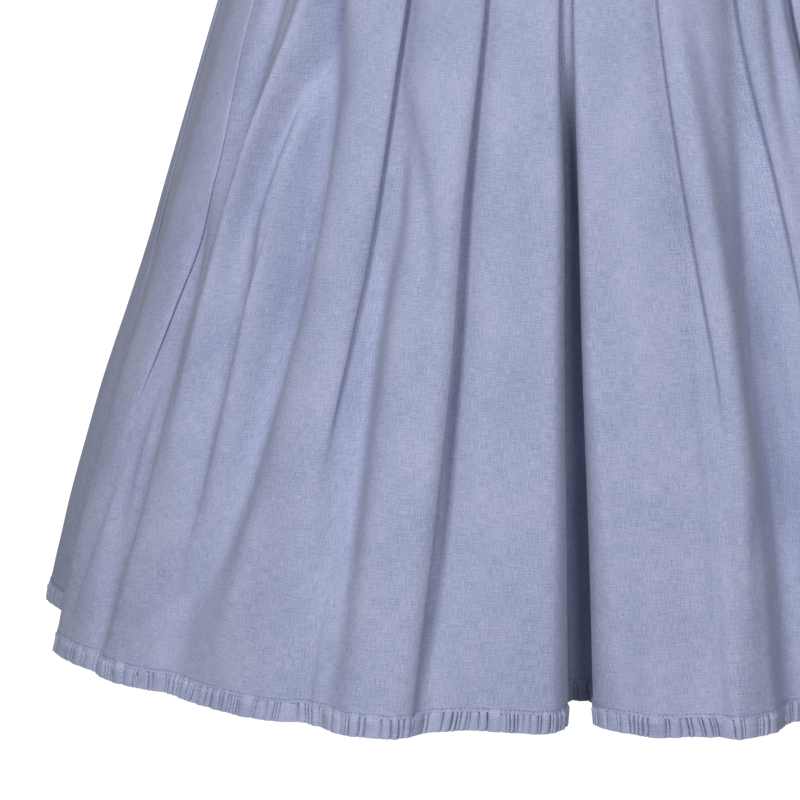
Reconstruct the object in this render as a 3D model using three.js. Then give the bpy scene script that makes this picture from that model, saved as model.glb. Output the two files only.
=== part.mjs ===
// Dirndl dress: a plain sleeveless bodice that buttons down the front, sewn to a pleated skirt
// with a narrow gathered ruffle round its hem. Millimetres, +Z up, the front faces -Y.
// Origin: halfway between the tops of the two straps, where the dress hangs on its wearer.
import * as THREE from 'three';

// Driving sizes
const wall = 1.2; // thickness of every cloth solid
const seamGap = 0.3; // air between pieces that are sewn together
const strapTopToWaist = 395;
const skirtLength = 590; // from the waist seam down to the ruffle's seam
const ruffleHeight = 10;
const depthRatio = 0.756; // half depth of the skirt's ring over its half width
const gatherWaves = { front: 86, back: 88 };
const gatherDepth = { top: 0.9, bottom: 1.8 };
const buttonRadius = 7;
const buttonHeight = 3.6;
const buttonHeights = [26, 70, 114, 158, 202]; // above the waist seam

// Half width of the skirt's ring
const ringTable = [
  // down from the waist, half width
  [0, 130], [60, 152], [120, 171], [180, 188], [230, 203], [260, 213], [300, 226], [345, 240],
  [372, 248], [412, 261], [463, 278], [496, 287.5], [538, 299], [568, 306], [600, 313],
];

// Heights below the waist that the pleat tables are given at
const stations = [0, 115, 230, 320, 410, 500, 590];
const usualLap = [18, 15, 12, 9, 6, 2, -3];
const usualGap = [3.4, 3.5, 3.8, 4.4, 5.0, 5.6, 6.0];

// Pleats, counted from the centre front. edge: degrees round the ring from the centre front.
// lap: how far the cloth doubles back under the edge. gap: half the step down to the next panel.
// turn: how softly the edge is rounded. A list that is missing is the usual one.
const pleats = {
  left: [
    {
      edge: [1.6, 2.4, 2.7, 1.6, 1.25, 0.75, 0.4],
      lap: [20, 17, 13, 10, 7, 5, 3],
      gap: [3.4, 3.4, 3.2, 10, 19, 26, 31],
      turn: [1.7, 1.7, 1.7, 4, 5, 6, 8],
    },
    {
      edge: [14.4, 14.4, 14.3, 14.6, 14.2, 14.3, 14.6],
      lap: [18, 15, 12, 10, 8, 4, -7],
      gap: [3.4, 3.0, 3.2, 6.2, 8.4, 7.6, 0.6],
    },
    {
      edge: [27.5, 27.6, 27.6, 27.2, 27.9, 28.6, 28.6],
      lap: [18, 15, 12, 8, 2, -5, -11],
      gap: [3.4, 3.2, 4.6, 3.8, 2.8, 1.0, 0.3],
    },
    {
      edge: [43.0, 44.0, 44.8, 46.7, 48.5, 49.5, 50.5],
      lap: [18, 15, 11, 5, -4, -10, -13],
      gap: [3.4, 3.4, 3.5, 3.4, 1.4, 0.5, 0.3],
    },
    {
      edge: [60.0, 61.5, 62.2, 58.8, 60.9, 65.2, 70.5],
      lap: [18, 15, 12, 6, 2, -4, -10],
      gap: [3.4, 3.0, 2.4, 2.3, 2.2, 1.0, 0.3],
    },
    {
      edge: [82, 83.5, 85, 86, 88, 90, 92],
      lap: [18, 15, 11, 5, -2, -8, -12],
      gap: [3.4, 3.0, 2.4, 2.3, 1.2, 0.6, 0.3],
    },
    { edge: [100, 100.5, 101, 101, 102, 104, 107] },
    {
      edge: [116, 116.5, 117, 118, 119, 118, 116],
      lap: [18, 15, 12, 9, 7, 5, 3],
      gap: [3.4, 3.6, 4.4, 5.4, 6.2, 6.8, 7.4],
    },
    { edge: [131, 131.5, 132, 131, 130, 131, 133] },
    { edge: [145, 145.5, 146, 147, 149, 150, 150], lap: [18, 15, 12, 8, 3, -4, -10] },
    { edge: [158.5, 158.5, 159, 159, 160, 162, 163] },
    {
      edge: [171.5, 171.5, 172, 172, 173, 173, 174],
      lap: [16, 14, 12, 9, 7, 5, 3],
      gap: [3.4, 3.6, 4.2, 5.4, 6.4, 7.2, 8.0],
    },
  ],
  right: [
    {
      edge: [-0.6, -0.9, -0.5, 0.4, 1.05, 1.8, 2.3],
      lap: [20, 17, 13, 10, 7, 5, 3],
      gap: [3.4, 3.4, 3.2, 10, 19, 26, 31],
      turn: [1.7, 1.7, 1.7, 4, 5, 9, 16],
    },
    {
      edge: [12.2, 12.2, 12.7, 14.6, 16.6, 17.6, 17.5],
      lap: [18, 15, 12, 9, 0, -7, -12],
      gap: [3.4, 3.2, 3.3, 3.9, 2.8, 0.5, 0.3],
    },
    {
      edge: [25.4, 25.4, 26.0, 28.3, 29.5, 30.0, 30.5],
      lap: [18, 15, 12, 5, -3, -9, -13],
      gap: [3.4, 3.2, 4.2, 3.2, 1.8, 0.6, 0.3],
    },
    {
      edge: [37.5, 36.5, 35.6, 37.6, 39.5, 41.0, 42.0],
      lap: [14, 12, 10, 8, 5, 3, 1],
      gap: [3.4, 3.5, 4.4, 5.0, 5.4, 5.6, 5.8],
    },
    { edge: [51, 51.5, 52, 53, 53, 55, 57], lap: [17, 15, 12, 8, 2, -5, -10] },
    {
      edge: [67, 67.5, 68, 67, 68, 71, 74],
      lap: [18, 15, 12, 9, 7, 5, 3],
      gap: [3.4, 3.6, 4.4, 5.6, 6.4, 6.8, 7.2],
    },
    { edge: [84, 84.5, 85, 85, 86, 88, 89] },
    { edge: [100, 100, 100.5, 102, 103, 103, 103] },
    {
      edge: [115.5, 116, 116, 115, 114, 115, 118],
      lap: [18, 15, 12, 9, 7, 5, 3],
      gap: [3.4, 3.6, 4.4, 5.4, 6.2, 6.8, 7.4],
    },
    { edge: [130, 130.5, 131, 132, 133, 133, 132], lap: [17, 15, 12, 8, 2, -5, -10] },
    { edge: [144, 144.5, 145, 145, 144, 145, 147] },
    { edge: [158, 158, 158.5, 159, 160, 160, 160] },
    {
      edge: [171.5, 171.5, 172, 171.5, 171, 171, 171],
      lap: [16, 14, 12, 9, 7, 5, 3],
      gap: [3.4, 3.6, 4.2, 5.4, 6.4, 7.2, 8.0],
    },
  ],
};
const seamPleat = { left: 5, right: 6 }; // the side seams lie in the middle of these panels

// Soft troughs (depth above 0) and ridges (below 0) that run down a panel
const creases = [
  // side, half width in degrees, then down, angle and depth at three points of the line
  [-1, 1.7, 300, 26.0, 0, 430, 24.7, 8, 600, 23.4, 0],
  [-1, 2.4, 190, 42.0, 0, 370, 38.2, 14, 600, 43.0, 1],
  [-1, 1.6, 330, 58.8, 0, 480, 56.6, 9, 600, 58.0, 2],
  [-1, 2.2, 120, 46.2, 0, 290, 49.9, -8, 480, 49.8, 0],
  [-1, 1.8, 200, 41.6, 0, 330, 44.4, -8, 500, 43.4, 0],
  [-1, 2.4, 120, 53.0, 0, 270, 55.2, 7, 400, 54.6, 0],
  [-1, 3.0, 300, 77.0, 0, 460, 78.0, 3, 600, 80.0, 0],
  [-1, 3.0, 250, 124.0, 0, 420, 124.5, 6, 600, 124.0, 9],
  [-1, 3.0, 320, 140.0, 0, 470, 141.0, 6, 600, 142.0, 8],
  [1, 2.6, 200, 23.0, 0, 360, 23.0, 14, 600, 23.0, 0],
  [1, 1.5, 190, 13.8, 0, 390, 18.6, -5, 600, 17.6, 0],
  [1, 2.6, 330, 46.5, 0, 470, 47.5, 6, 600, 49.0, 4],
  [1, 3.0, 280, 61.0, 0, 430, 61.0, 6, 600, 64.0, 3],
  [1, 3.0, 300, 94.0, 0, 460, 95.0, 6, 600, 96.0, 4],
  [1, 3.0, 340, 124.0, 0, 480, 124.0, 6, 600, 125.0, 6],
  [1, 3.0, 260, 152.0, 0, 430, 152.5, 6, 600, 153.0, 5],
];

// The hem's line in plan, as depth inside the ring; it fades out upward
const swellFrom = 130; // down from the waist
const swellPower = 1.55;
const hemSwell = [
  // angle, depth
  [-180, 0], [-170, -3], [-160, -7], [-151, 2], [-139, -8], [-126, 3], [-112, -9], [-106, -7],
  [-100, -5], [-97, 0], [-93, 9], [-88, 19], [-80, 22], [-75, 13], [-72, 3], [-69.5, -2.5],
  [-65, -2.5], [-60, -2], [-55, -5.5], [-51, -6.5], [-48.5, -5.5], [-45.5, -3.8], [-43, -6.3],
  [-39, -8.5], [-36.5, -11], [-33, -14.3], [-30, -15.2], [-28.2, -13], [-26.8, -10.6],
  [-25.3, -13.2], [-23.8, -17], [-22, -24], [-19.5, -25.5], [-16.8, -26.2], [-15.8, -24],
  [-15, -20], [-13.8, -16], [-13.1, -12], [-12.4, -7], [-11.6, -3.5], [-9.5, -1.2], [-6, -1.5],
  [-3.5, -2.5], [-2, -1], [0, 0], [3, 0], [5, 0.5], [6, -1.3], [7, -5.2], [8, -9], [10, -9.6],
  [12, -9.6], [13.5, -12], [14.5, -12.4], [15.3, -17], [16, -18.4], [17.5, -15.5], [18.8, -12],
  [20, -9], [21, -3.4], [22, 1.4], [23, 5.8], [24.5, 7], [26, 2], [28, -6], [31, -10], [35, -8],
  [39, -3], [43, 3], [46, 5], [49, 1], [52, -6], [56, -9], [60, -4], [64, 3], [68, 0], [73, -7],
  [79, -5], [85, 2], [91, -5], [97, 3], [103, -6], [110, -6], [118, 2], [125, 5], [131, -4],
  [139, -8], [147, -3], [153, 5], [160, -4], [166, -7], [173, -2], [180, 0],
];

// Heights of the skirt solids' rows
const skirtRows = [0, 40, 115, 180, 230, 290, 350, 410, 470, 530, skirtLength - seamGap];

// Bodice rings of a general figure, with the cloth's two edges on them. The rows climb the body
// and go over the shoulder to the shoulder seam. Neckline and armhole are angles from the centre:
// 0 is closed at the centre, 90 is the side seam.
const frontRows = [
  // up, half width, half depth, swell of the bust, neckline, armhole
  [seamGap, 126.5, 95.5, 0, 0, 90],
  [30, 128, 96.5, 0, 0, 90],
  [60, 130.5, 98, 0, 0, 90],
  [95, 135, 102, 1.5, 0, 90],
  [125, 140, 110, 5, 0, 90],
  [150, 144, 117.5, 8, 0, 90],
  [172, 147, 121, 9, 0, 90],
  [188, 149, 120, 8, 0, 89.4],
  [195, 149.7, 118.5, 7.5, 0, 81.5],
  [213, 151.5, 114, 5, 0, 71.5],
  [234, 153.5, 107.5, 2, 0, 63.5],
  [235.3, 153.7, 107, 1.8, 4, 62.4],
  [242, 154.5, 104.5, 1.2, 21, 60],
  [258, 156, 99, 0.5, 27.5, 56.5],
  [282, 158.5, 90.5, 0, 30.5, 53.5],
  [312, 161, 77.5, 0, 31.2, 52],
  [342, 163, 61, 0, 31.2, 51.3],
  [368, 164.5, 41, 0, 31.2, 51],
  [385, 165, 22, 0, 31.2, 51],
  [393, 165, 8.5, 0, 31.2, 51],
  [395, 165, 0.4, 0, 31.2, 51],
];
const backRows = [
  // up, half width, half depth, neckline, armhole
  [seamGap, 126.5, 95.5, 0, 90],
  [30, 128, 93.5, 0, 90],
  [60, 130.5, 92.5, 0, 90],
  [95, 135, 92.5, 0, 90],
  [140, 142, 96, 0, 90],
  [188, 149, 101, 0, 89.4],
  [196, 149.8, 101.5, 0, 81.5],
  [218, 152, 102.3, 0, 71],
  [255, 156, 101, 0, 61],
  [282, 158.5, 97, 0, 56],
  [290, 159.5, 95.5, 19, 55],
  [304, 160.5, 91.5, 27, 53.5],
  [325, 162, 83, 31.2, 52],
  [350, 163.5, 67.5, 31.2, 51.3],
  [372, 164.7, 46.5, 31.2, 51],
  [387, 165, 24, 31.2, 51],
  [393.5, 165, 9.5, 31.2, 51],
  [395, 165, 0.4, 31.2, 51],
];
const bustAngle = 34;
const bustWidth = 17;
const overlap = 10; // each front half passes the centre line by this much
const buttonedLift = wall + seamGap + 0.45; // the upper half lies this far outside the lower one
const liftRamp = 16;
const closedLiftEnd = 34; // the lift has run out this far from the centre line
const neckLiftEnd = 66;
const frontColumns = [0, 0.055, 0.11, 0.17, 0.25, 0.35, 0.46, 0.6, 0.74, 0.87, 1];
const backColumns = [0, 0.1, 0.22, 0.36, 0.52, 0.68, 0.84, 1];

// Looks from the photo: a blue-grey cotton, the ruffle a little lighter
const looks = {
  cloth: { color: 0x8d96b8, roughness: 0.9, metalness: 0 },
  ruffle: { color: 0x99a1c1, roughness: 0.9, metalness: 0 },
  button: { color: 0x8790ae, roughness: 0.35, metalness: 0 },
};

// Small helpers
const degree = Math.PI / 180;
const clamp = (value, low, high) => Math.min(high, Math.max(low, value));

// Smooth value of ys over unevenly spaced xs: cubic Hermite with averaged slopes
function curve(xs, ys, x) {
  const last = xs.length - 1;
  if (x <= xs[0]) return ys[0];
  if (x >= xs[last]) {
    return ys[last] + (x - xs[last]) * (ys[last] - ys[last - 1]) / (xs[last] - xs[last - 1]);
  }
  let i = 0;
  while (x > xs[i + 1]) i++;
  const slope = (k) => {
    const from = Math.max(k - 1, 0);
    const to = Math.min(k + 1, last);
    return (ys[to] - ys[from]) / (xs[to] - xs[from]);
  };
  const width = xs[i + 1] - xs[i];
  const u = (x - xs[i]) / width;
  const start = (2 * u ** 3 - 3 * u ** 2 + 1) * ys[i] + (u ** 3 - 2 * u ** 2 + u) * slope(i) * width;
  const end = (3 * u ** 2 - 2 * u ** 3) * ys[i + 1] + (u ** 3 - u ** 2) * slope(i + 1) * width;
  return start + end;
}

const column = (rows, index) => rows.map((row) => row[index]);
const halfWidthAt = (down) => curve(column(ringTable, 0), column(ringTable, 1), down);

// Point of the skirt's ring at an angle, moved inward by depth
function ringPoint(down, angle, depth) {
  const a = halfWidthAt(down);
  const b = a * depthRatio;
  const sin = Math.sin(angle * degree);
  const cos = Math.cos(angle * degree);
  const n = Math.hypot(b * sin, a * cos);
  return [a * sin - depth * b * sin / n, -b * cos + depth * a * cos / n];
}

// Millimetres along the ring for one degree
function ringRate(down, angle) {
  const a = halfWidthAt(down);
  const b = a * depthRatio;
  return Math.hypot(a * Math.cos(angle * degree), b * Math.sin(angle * degree)) * degree;
}

// Depth that the creases and the hem's swell add at one place
function softDepth(down, angle) {
  const rise = clamp((down - swellFrom) / (skirtLength - swellFrom), 0, 1.05);
  let sum = curve(column(hemSwell, 0), column(hemSwell, 1), angle) * rise ** swellPower;
  for (const [side, halfWidth, s0, a0, d0, s1, a1, d1, s2, a2, d2] of creases) {
    if (down <= s0 || side * angle < 0 || (d2 === 0 && down >= s2)) continue;
    const at = curve([s0, s1, s2], [a0, a1, a2], down);
    const depth = curve([s0, s1, s2], [d0, d1, d2], down);
    sum += depth * Math.exp(-(((Math.abs(angle) - at) / halfWidth) ** 2));
  }
  return sum;
}

// Skirt section: the columns of one half, from the centre front to the centre back
const foldKeys = ['under', 'lapEnd', 'innerTurn', 'innerBack', 'outerBack', 'outerTurn', 'edgeTop'];
const panelKeys = ['panelA', 'panelB', 'panelC'];
function halfColumns(side) {
  const list = [];
  const lastPleat = pleats[side].length - 1;
  for (let k = 0; k <= lastPleat; k++) {
    for (const key of [...foldKeys, ...panelKeys]) {
      const unused = (k === 0 && key === 'under') || (k === lastPleat && key === 'panelC');
      if (!unused) list.push([side, k, key]);
    }
  }
  return list;
}

function pleatAt(side, k, down) {
  const pleat = pleats[side][k];
  const gap = curve(stations, pleat.gap || usualGap, down);
  return {
    edge: curve(stations, pleat.edge, down),
    lap: curve(stations, pleat.lap || usualLap, down),
    gap,
    turn: pleat.turn ? curve(stations, pleat.turn, down) : Math.min(gap / 2, 4),
  };
}

// Angle (outward from the centre front) and depth of one column
function keyPlace(side, k, key, down) {
  const { edge, lap, gap, turn } = pleatAt(side, k, down);
  const last = k === pleats[side].length - 1;
  const next = last ? { edge: 180, gap: 0 } : pleatAt(side, k + 1, down);
  const span = next.edge - edge;
  const step = next.gap * 2;
  if (key === 'panelA') return [edge + span * (last ? 0.35 : 0.26), -0.5];
  if (key === 'panelB') return last ? [edge + span * 0.7, -0.7] : [edge + span * 0.52, 0.03 * step];
  if (key === 'panelC') return [edge + span * 0.78, 0.24 * step];
  const opened = 0.5 * Math.max(-lap, 0); // a fold that has run out turns softly
  const r = Math.min(gap / 2, 4) + opened;
  const middle = lap / 2;
  const doubled = Math.max(middle - r, 0) + 0.3 * Math.min(middle, 0);
  const apart = 0.16 * (1 - clamp(2 * doubled / (0.6 * gap), 0, 1));
  const places = {
    under: [Math.min(0, lap - r - 3.5), 1.86 * gap],
    lapEnd: [lap - r, 2 * gap],
    innerTurn: [lap, 1.5 * gap],
    innerBack: [middle + doubled, gap * (1 + apart)],
    outerBack: [middle - doubled, gap * (1 - apart)],
    outerTurn: [0, 0.5 * gap],
    edgeTop: [turn + opened, 0],
  };
  const [across, depth] = places[key];
  const rate = ringRate(down, edge);
  if (k === 0 || across >= 0) return [edge + across / rate, depth];
  const room = 0.19 * (edge - pleatAt(side, k - 1, down).edge) * rate; // clear of the panel before
  const need = 3.5 + r - lap;
  return [edge + across * Math.min(1, room / need) / rate, depth];
}

function columnPoint([side, k, key], down) {
  if (key === 'back') return ringPoint(down, 180, -0.8);
  if (key === 'front') {
    const left = keyPlace('left', 0, 'lapEnd', down);
    const right = keyPlace('right', 0, 'lapEnd', down);
    return ringPoint(down, (right[0] - left[0]) / 2, (left[1] + right[1]) / 2 - 0.8);
  }
  const [angle, depth] = keyPlace(side, k, key, down);
  const signed = side === 'left' ? -angle : angle;
  return ringPoint(down, signed, depth + softDepth(down, signed));
}

// Columns of a skirt piece in order, with one past each seam so that both sides of a seam agree
function pieceColumns(part) {
  const left = halfColumns('left');
  const right = halfColumns('right');
  const cutAt = (list, side) => list.findIndex(([, k, key]) => k === seamPleat[side] && key === 'panelB');
  const cutLeft = cutAt(left, 'left');
  const cutRight = cutAt(right, 'right');
  if (part === 'front') {
    const fromLeft = left.slice(0, cutLeft + 2).reverse();
    return [...fromLeft, ['centre', 0, 'front'], ...right.slice(0, cutRight + 2)];
  }
  const toLeft = left.slice(cutLeft - 1).reverse();
  return [...right.slice(cutRight - 1), ['centre', 0, 'back'], ...toLeft];
}

// Unit normals of a plan line, stretched a little at bends to keep the wall's thickness
function lineNormals(points) {
  return points.map((point, i) => {
    const before = points[Math.max(0, i - 1)];
    const after = points[Math.min(points.length - 1, i + 1)];
    const normalOf = (p, q) => {
      const length = Math.hypot(q[0] - p[0], q[1] - p[1]) || 1;
      return [(q[1] - p[1]) / length, -(q[0] - p[0]) / length];
    };
    const n1 = i === 0 ? normalOf(point, after) : normalOf(before, point);
    const n2 = i === points.length - 1 ? n1 : normalOf(point, after);
    const sum = [n1[0] + n2[0], n1[1] + n2[1]];
    const length = Math.hypot(...sum) || 1;
    const stretch = Math.min(1.35, 2 / length) / length;
    return [sum[0] * stretch, sum[1] * stretch];
  });
}

// Plan line and normals of a skirt piece at one height, each end drawn back by half the seam gap
function sectionOf(part, down) {
  const line = pieceColumns(part).map((place) => columnPoint(place, down));
  const normals = lineNormals(line).slice(1, -1);
  const points = line.slice(1, -1);
  const drawBack = (i, j) => {
    const [nx, ny] = normals[i];
    const toward = -ny * (points[j][0] - points[i][0]) + nx * (points[j][1] - points[i][1]);
    const step = Math.sign(toward) * seamGap / 2 / Math.hypot(nx, ny);
    points[i] = [points[i][0] - ny * step, points[i][1] + nx * step];
  };
  drawBack(0, 1);
  drawBack(points.length - 1, points.length - 2);
  return { points, normals };
}

// Geometry of a closed solid, turned so that its faces look outward
function closedGeometry(positions, faces) {
  const point = (i) => new THREE.Vector3().fromArray(positions, 3 * i);
  let volume = 0;
  for (let i = 0; i < faces.length; i += 3) {
    volume += point(faces[i]).dot(point(faces[i + 1]).cross(point(faces[i + 2])));
  }
  if (volume < 0) faces.reverse();
  const geometry = new THREE.BufferGeometry();
  geometry.setAttribute('position', new THREE.Float32BufferAttribute(positions, 3));
  geometry.setIndex(faces);
  return geometry;
}

// Closed solid between rows of outer and inner points
function shellGeometry(outer, inner) {
  const rows = outer.length;
  const columns = outer[0].length;
  const positions = [...outer, ...inner].flat(2);
  const faces = [];
  const quad = (a, b, c, d) => faces.push(a, b, c, a, c, d);
  const out = (r, c) => r * columns + c;
  const back = (r, c) => (rows + r) * columns + c;
  for (let r = 0; r < rows - 1; r++) {
    for (let c = 0; c < columns - 1; c++) {
      quad(out(r, c), out(r + 1, c), out(r + 1, c + 1), out(r, c + 1));
      quad(back(r, c), back(r, c + 1), back(r + 1, c + 1), back(r + 1, c));
    }
    quad(out(r, 0), back(r, 0), back(r + 1, 0), out(r + 1, 0));
    const end = columns - 1;
    quad(out(r, end), out(r + 1, end), back(r + 1, end), back(r, end));
  }
  for (let c = 0; c < columns - 1; c++) {
    const end = rows - 1;
    quad(out(0, c), out(0, c + 1), back(0, c + 1), back(0, c));
    quad(out(end, c), back(end, c), back(end, c + 1), out(end, c + 1));
  }
  return closedGeometry(positions, faces);
}

const root = new THREE.Group();
root.name = 'dirndl_dress';
function addMesh(name, geometry, look) {
  const mesh = new THREE.Mesh(geometry, new THREE.MeshStandardMaterial(look));
  mesh.name = name;
  root.add(mesh);
  return mesh;
}

// Both sides of the wall for a plan line at one height
function wallRow(points, normals, z, side) {
  return points.map(([x, y], i) => [
    x + normals[i][0] * side * wall / 2,
    y + normals[i][1] * side * wall / 2,
    z,
  ]);
}

// Skirt
function skirtPiece(part) {
  const outer = [];
  const inner = [];
  for (const down of skirtRows) {
    const { points, normals } = sectionOf(part, down);
    const z = -strapTopToWaist - down;
    outer.push(wallRow(points, normals, z, 1));
    inner.push(wallRow(points, normals, z, -1));
  }
  return shellGeometry(outer, inner);
}
addMesh('skirt_front', skirtPiece('front'), looks.cloth);
addMesh('skirt_back', skirtPiece('back'), looks.cloth);

// Hem ruffle: the hem's line walked in equal steps, every other step pushed in or out
function evenWalk(points, count) {
  const corners = points.map(([x, y]) => new THREE.Vector3(x, y, 0));
  const line = new THREE.CatmullRomCurve3(corners, false, 'centripetal');
  line.arcLengthDivisions = 4000;
  return line.getSpacedPoints(count).map(({ x, y }) => [x, y]);
}
function rufflePiece(part) {
  const steps = gatherWaves[part] * 2;
  const outer = [];
  const inner = [];
  const edges = [[skirtLength, gatherDepth.top], [skirtLength + ruffleHeight, gatherDepth.bottom]];
  for (const [down, depth] of edges) {
    const hem = sectionOf(part, down);
    const walk = evenWalk(hem.points, steps);
    const normals = lineNormals(walk);
    normals[0] = hem.normals[0];
    normals[steps] = hem.normals[hem.normals.length - 1];
    const wave = walk.map(([x, y], i) => {
      const atSeam = i === 0 || i === steps;
      const sway = 0.8 + 0.2 * Math.cos(i * 1.7);
      const push = atSeam ? 0 : (i % 2 ? depth : -depth) * sway;
      return [x + normals[i][0] * push, y + normals[i][1] * push];
    });
    const z = -strapTopToWaist - down;
    outer.push(wallRow(wave, normals, z, 1));
    inner.push(wallRow(wave, normals, z, -1));
  }
  return shellGeometry(outer, inner);
}
addMesh('hem_ruffle_front', rufflePiece('front'), looks.ruffle);
addMesh('hem_ruffle_back', rufflePiece('back'), looks.ruffle);

// Bodice: a point at one place of the rows' table, moved outward by out
function bodyPlace(rows, isBack, v, angle, out) {
  const at = (index) => curve(rows.map((row, i) => i), column(rows, index), v);
  const a = at(1);
  const b = at(2);
  const sin = Math.sin(angle * degree);
  const cos = Math.cos(angle * degree);
  const bust = Math.exp(-(((Math.abs(angle) - bustAngle) / bustWidth) ** 2));
  const push = out + (isBack ? 0 : at(3) * bust);
  const n = Math.hypot(b * sin, a * cos);
  const y = -b * cos - push * a * cos / n;
  return new THREE.Vector3(a * sin + push * b * sin / n, isBack ? -y : y, -strapTopToWaist + at(0));
}

// Outer and inner wall points at one place of the body
function bodyWall(rows, isBack, v, angle, out) {
  const top = rows.length - 1;
  const place = (dv, da) => bodyPlace(rows, isBack, clamp(v + dv, 0, top), angle + da, out);
  const across = place(0, 0.4).sub(place(0, -0.4));
  const upward = place(0.12, 0).sub(place(-0.12, 0));
  const normal = across.cross(upward).normalize().multiplyScalar(isBack ? -1 : 1);
  return [wall / 2, -wall / 2].map((half) => place(0, 0).addScaledVector(normal, half).toArray());
}

// side -1 is the viewer's left half, which lies on top at the buttoned front
function bodiceFront(side) {
  const outer = [];
  const inner = [];
  frontRows.forEach(([, a, b, , neckline, armhole], v) => {
    const closed = neckline === 0;
    const from = closed ? -Math.asin(overlap / a) / degree : neckline;
    const seam = armhole === 90 ? seamGap / 2 / b / degree : 0;
    const walls = frontColumns.map((u) => {
      const angle = from + (armhole - seam - from) * u;
      const x = a * Math.sin(angle * degree);
      const lifted = neckline < 5 && side < 0;
      const liftEnd = closed ? closedLiftEnd : neckLiftEnd;
      const lift = lifted ? buttonedLift * clamp((liftEnd - x) / liftRamp, 0, 1) : 0;
      return bodyWall(frontRows, false, v, side * angle, lift);
    });
    outer.push(walls.map((points) => points[0]));
    inner.push(walls.map((points) => points[1]));
  });
  return shellGeometry(outer, inner);
}
addMesh('bodice_front_left', bodiceFront(-1), looks.cloth);
addMesh('bodice_front_right', bodiceFront(1), looks.cloth);

// The back is one piece: its two halves share the centre column up to the neckline
function bodiceBack() {
  const positions = [];
  const faces = [];
  const lastRow = backRows.length - 1;
  const lastColumn = backColumns.length - 1;
  const neckRow = backRows.findIndex((row) => row[3] !== 0) - 1;
  const put = (point) => {
    positions.push(...point);
    return positions.length / 3 - 1;
  };
  const halves = [[], []];
  [-1, 1].forEach((side, h) => {
    backRows.forEach(([, , b, neckline, armhole], v) => {
      const seam = armhole === 90 ? seamGap / 2 / b / degree : 0;
      halves[h].push(backColumns.map((u, c) => {
        if (h === 1 && c === 0 && v <= neckRow) return halves[0][v][0];
        const angle = neckline + (armhole - seam - neckline) * u;
        return bodyWall(backRows, true, v, side * angle, 0).map(put);
      }));
    });
  });
  halves.forEach((grid, h) => {
    const quad = (...corners) => {
      const [a, b, c, d] = h ? corners.reverse() : corners;
      faces.push(a, b, c, a, c, d);
    };
    for (let r = 0; r < lastRow; r++) {
      const low = grid[r];
      const high = grid[r + 1];
      for (let c = 0; c < lastColumn; c++) {
        quad(low[c][0], low[c + 1][0], high[c + 1][0], high[c][0]);
        quad(low[c][1], high[c][1], high[c + 1][1], low[c + 1][1]);
      }
      quad(low[lastColumn][0], low[lastColumn][1], high[lastColumn][1], high[lastColumn][0]);
      if (r >= neckRow) quad(low[0][0], high[0][0], high[0][1], low[0][1]);
    }
    for (let c = 0; c < lastColumn; c++) {
      const bottom = grid[0];
      const top = grid[lastRow];
      quad(bottom[c][0], bottom[c][1], bottom[c + 1][1], bottom[c + 1][0]);
      quad(top[c][0], top[c + 1][0], top[c + 1][1], top[c][1]);
    }
  });
  return closedGeometry(positions, faces);
}
addMesh('bodice_back', bodiceBack(), looks.cloth);

// Buttons: domed discs on the closed front, each leaning with the bodice
const closedRows = frontRows.slice(0, 11);
const frontDepth = (up) => curve(column(closedRows, 0), column(closedRows, 2), up);
const buttonProfile = [
  [0, 0],
  [buttonRadius - 0.7, 0],
  [buttonRadius, 0.7],
  [buttonRadius - 0.2, 1.7],
  [buttonRadius * 0.72, buttonHeight - 0.5],
  [buttonRadius * 0.38, buttonHeight],
  [0, buttonHeight + 0.1],
].map(([r, h]) => new THREE.Vector2(r, h));
const buttonSegments = 16;
const buttonOut = buttonedLift + wall / 2 + seamGap + 0.5;
buttonHeights.forEach((up, i) => {
  const tilt = Math.atan((frontDepth(up + 4) - frontDepth(up - 4)) / 8);
  const geometry = new THREE.LatheGeometry(buttonProfile, buttonSegments);
  const mesh = addMesh(`button_${i + 1}`, geometry, looks.button);
  const y = -frontDepth(up) - buttonOut * Math.cos(tilt);
  mesh.rotation.set(Math.PI + tilt, 0, 0);
  mesh.position.set(0, y, -strapTopToWaist + up - buttonOut * Math.sin(tilt));
});

export default root;
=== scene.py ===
# A dirndl dress: plain buttoned bodice, pleated chambray skirt, narrow gathered ruffle at the hem.
# Tables are in millimetres and degrees, as a dressmaker's sheet gives them; meshes in metres.
import math

import bmesh
import bpy
import numpy as np
from mathutils import Matrix, Vector


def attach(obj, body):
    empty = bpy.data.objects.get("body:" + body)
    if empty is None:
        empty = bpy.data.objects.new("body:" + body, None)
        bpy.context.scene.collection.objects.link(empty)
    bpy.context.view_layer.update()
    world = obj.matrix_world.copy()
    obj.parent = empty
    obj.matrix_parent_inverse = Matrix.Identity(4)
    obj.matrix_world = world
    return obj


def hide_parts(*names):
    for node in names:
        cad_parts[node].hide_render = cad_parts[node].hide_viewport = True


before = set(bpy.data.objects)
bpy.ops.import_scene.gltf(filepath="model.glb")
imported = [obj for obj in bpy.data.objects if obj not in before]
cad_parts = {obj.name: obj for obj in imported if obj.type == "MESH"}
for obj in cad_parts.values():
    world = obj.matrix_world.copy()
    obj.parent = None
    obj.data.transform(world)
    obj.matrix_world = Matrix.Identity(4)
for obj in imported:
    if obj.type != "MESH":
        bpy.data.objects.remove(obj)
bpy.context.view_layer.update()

mm = 0.001
rad = math.pi / 180
waistHeight = -395.0          # the waist seam in the dress's frame

camera = {
    "inFront": 2.6,           # metres in front of the dress's axis
    "aboveHem": 0.70,
    "lookDown": 12.36,        # degrees
    "lookLeft": 2.22,
    "lens": 206.6,
    "sensor": 36.0,
}

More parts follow.
